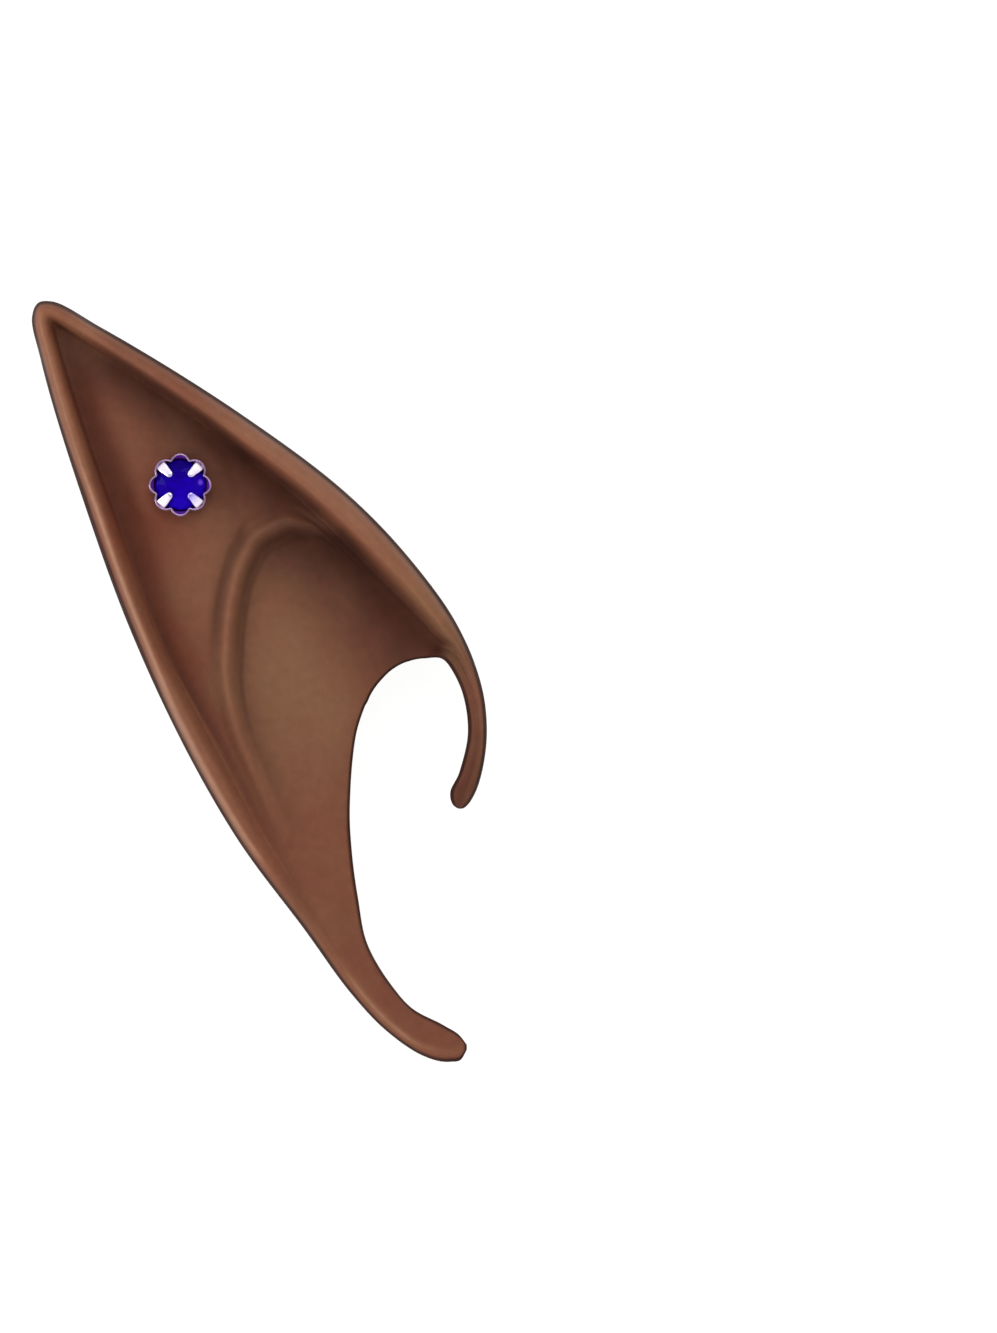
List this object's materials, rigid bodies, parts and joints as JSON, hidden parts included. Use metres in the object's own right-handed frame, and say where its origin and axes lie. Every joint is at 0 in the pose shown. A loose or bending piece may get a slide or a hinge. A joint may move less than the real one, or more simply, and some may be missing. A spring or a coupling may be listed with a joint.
{
  "type": "slip-on elf ear",
  "caption": "Pointed slip-on costume ear of moulded latex, hollow behind, with a rolled rim, an inner fold, a hook and a tail round the opening, and a clawed blue stone.",
  "frame": {"origin": "under the middle of the ear's outline, on the surface that it lies on", "axes": "+Z is the way the ear's front faces as it lies on its back, +Y runs up the ear towards its point, +X points towards the wearer's face"},
  "size_m": [0.0715, 0.1197, 0.0166],
  "materials": {
    "latex": "brown moulded latex, satin",
    "silver": "bright silver plate",
    "blue_glass": "polished facets, foil backed"
  },
  "bodies": {
    "root": {"ear_shell": "latex", "stone_setting": "silver", "stone": "blue_glass"}
  },
  "joints": []
}
